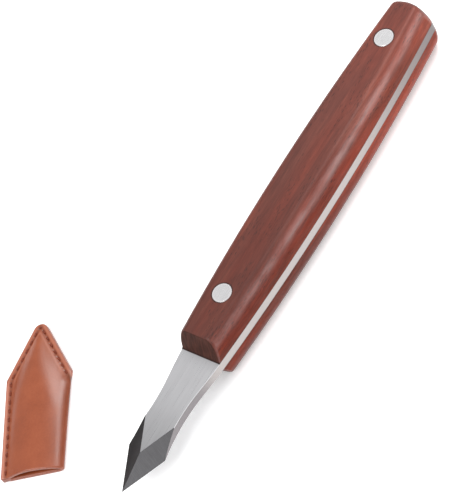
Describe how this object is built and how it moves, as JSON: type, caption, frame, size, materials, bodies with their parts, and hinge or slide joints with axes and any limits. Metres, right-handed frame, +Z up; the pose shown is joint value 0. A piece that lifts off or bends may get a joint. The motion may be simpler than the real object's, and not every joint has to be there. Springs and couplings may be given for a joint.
{
  "type": "whittling knife",
  "caption": "Full-tang whittling knife with a chisel-ground spear-point blade, riveted rosewood handle scales, and its folded and stitched leather blade cover lying beside the blade.",
  "frame": {"origin": "on the lower flat face of the handle, which the knife rests on, under the point midway between the two rivets", "axes": "+X along the knife from the blade's tip to the butt, +Z up off the table; the bevels face +Z and the leather cover lies on the +Y side"},
  "size_m": [0.1876, 0.0764, 0.0192],
  "materials": {
    "steel": "satin, ground flat, with darker finely ground bevels",
    "rosewood": "smooth oiled, satin, with lengthwise streaks and fine pores",
    "rivet": "sanded flush, pale satin",
    "glue": "dark epoxy line",
    "leather": "smooth tan leather, soft gloss",
    "thread": "dark-brown waxed thread"
  },
  "bodies": {
    "knife": {"blade_and_tang": "steel", "upper_scale": "rosewood", "lower_scale": "rosewood", "upper_glue_film": "glue", "lower_glue_film": "glue", "front_rivet_tube": "rivet", "front_rivet_pin": "rivet", "rear_rivet_tube": "rivet", "rear_rivet_pin": "rivet"},
    "sheath": {"sheath_leather": "leather", "sheath_thread": "thread"}
  },
  "joints": [
    {"name": "sheath_lift", "type": "slide", "parent": "knife", "child": "sheath", "axis": [0, 0, 1], "range_m": [0, 0.05]}
  ]
}
